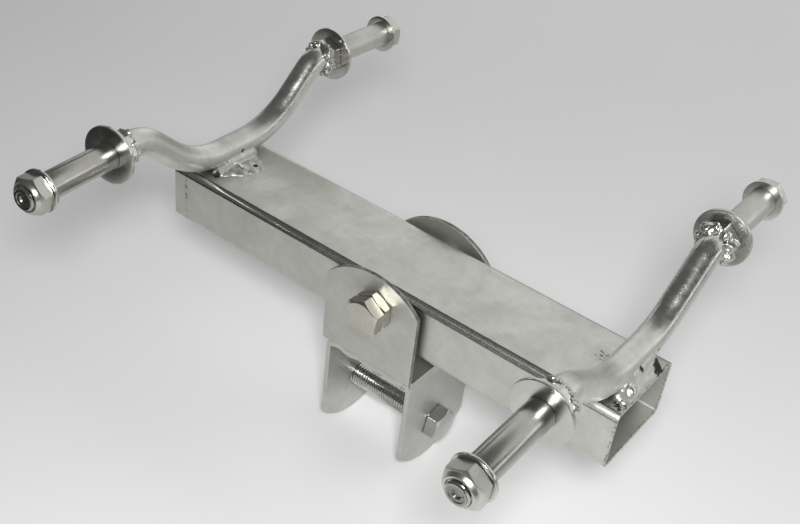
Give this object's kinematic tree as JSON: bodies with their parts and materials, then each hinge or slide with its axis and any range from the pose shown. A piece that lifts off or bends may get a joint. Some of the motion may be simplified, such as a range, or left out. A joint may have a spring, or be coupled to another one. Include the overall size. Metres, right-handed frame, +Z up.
{
  "type": "swinging roller cradle",
  "caption": "Boat trailer roller cradle without its rollers: a hollow beam that rocks on a post bracket, with bent round arms ending in roller axles.",
  "frame": {"origin": "middle of the post seat, the underside of the clamp bracket's web", "axes": "+Z up, away from the post; +X along the beam to its right end; -Y to the front, the pivot bolt's head"},
  "size_m": [0.4281, 0.4229, 0.2563],
  "materials": {
    "bracket_plate": "zinc plated, satin, light grey",
    "bracket_weld": "rippled bead under zinc",
    "beam_tube": "zinc plated, mottled grey",
    "bush": "plain turned steel, zinc plated",
    "bent_bar": "zinc plated bar with a speckled rolled skin",
    "arm_weld": "shiny spattered bead with dark burnt spots",
    "clamp_bolt": "bright bluish zinc",
    "pivot_bolt": "zinc with a slight brown tone",
    "axle_bolt": "bright zinc",
    "collar": "zinc plated, satin",
    "washer": "zinc plated",
    "sleeve": "drawn tube, bright zinc",
    "nylon": "dark nylon locking ring"
  },
  "bodies": {
    "bracket": {"fork_bracket": "bracket_plate", "clamp_bracket": "bracket_plate", "bracket_weld_front": "bracket_weld", "bracket_weld_rear": "bracket_weld", "clamp_bolt": "clamp_bolt", "clamp_nut": "clamp_bolt", "pivot_bolt": "pivot_bolt", "pivot_front_nut": "pivot_bolt", "pivot_rear_nut": "pivot_bolt"},
    "beam": {"beam_tube": "beam_tube", "pivot_bush": "bush", "left_arm": "bent_bar", "right_arm": "bent_bar", "left_arm_weld_left": "arm_weld", "left_arm_weld_right": "arm_weld", "right_arm_weld_left": "arm_weld", "right_arm_weld_right": "arm_weld", "left_front_bolt": "axle_bolt", "left_front_head_weld": "arm_weld", "left_front_collar": "collar", "left_front_washer": "washer", "left_front_nut": "axle_bolt", "left_front_nylon_ring": "nylon", "left_rear_bolt": "axle_bolt", "left_rear_head_weld": "arm_weld", "left_rear_collar": "collar", "left_rear_washer": "washer", "left_rear_nut": "axle_bolt", "left_rear_nylon_ring": "nylon", "right_front_bolt": "axle_bolt", "right_front_head_weld": "arm_weld", "right_front_collar": "collar", "right_front_washer": "washer", "right_front_nut": "axle_bolt", "right_front_nylon_ring": "nylon", "right_rear_bolt": "axle_bolt", "right_rear_head_weld": "arm_weld", "right_rear_collar": "collar", "right_rear_washer": "washer", "right_rear_nut": "axle_bolt", "right_rear_nylon_ring": "nylon"},
    "left_front_sleeve": {"left_front_sleeve": "sleeve"},
    "left_rear_sleeve": {"left_rear_sleeve": "sleeve"},
    "right_front_sleeve": {"right_front_sleeve": "sleeve"},
    "right_rear_sleeve": {"right_rear_sleeve": "sleeve"}
  },
  "joints": [
    {"name": "beam_rock", "type": "hinge", "parent": "bracket", "child": "beam", "pos_m": [0.005, 0, 0.0649], "axis": [0, 1, 0], "range_deg": [-20, 20]},
    {"name": "left_front_sleeve_spin", "type": "hinge", "parent": "beam", "child": "left_front_sleeve", "pos_m": [-0.1957, -0.1229, 0.1382], "axis": [0.1303, -0.9896, 0.061], "continuous": true},
    {"name": "left_rear_sleeve_spin", "type": "hinge", "parent": "beam", "child": "left_rear_sleeve", "pos_m": [-0.1945, 0.1225, 0.1383], "axis": [0.0174, 0.9992, -0.0349], "continuous": true},
    {"name": "right_front_sleeve_spin", "type": "hinge", "parent": "beam", "child": "right_front_sleeve", "pos_m": [0.186, -0.1215, 0.1348], "axis": [-0.0087, -0.9994, -0.0349], "continuous": true},
    {"name": "right_rear_sleeve_spin", "type": "hinge", "parent": "beam", "child": "right_rear_sleeve", "pos_m": [0.1867, 0.123, 0.1378], "axis": [0.0175, 0.9998, 0.0087], "continuous": true}
  ]
}
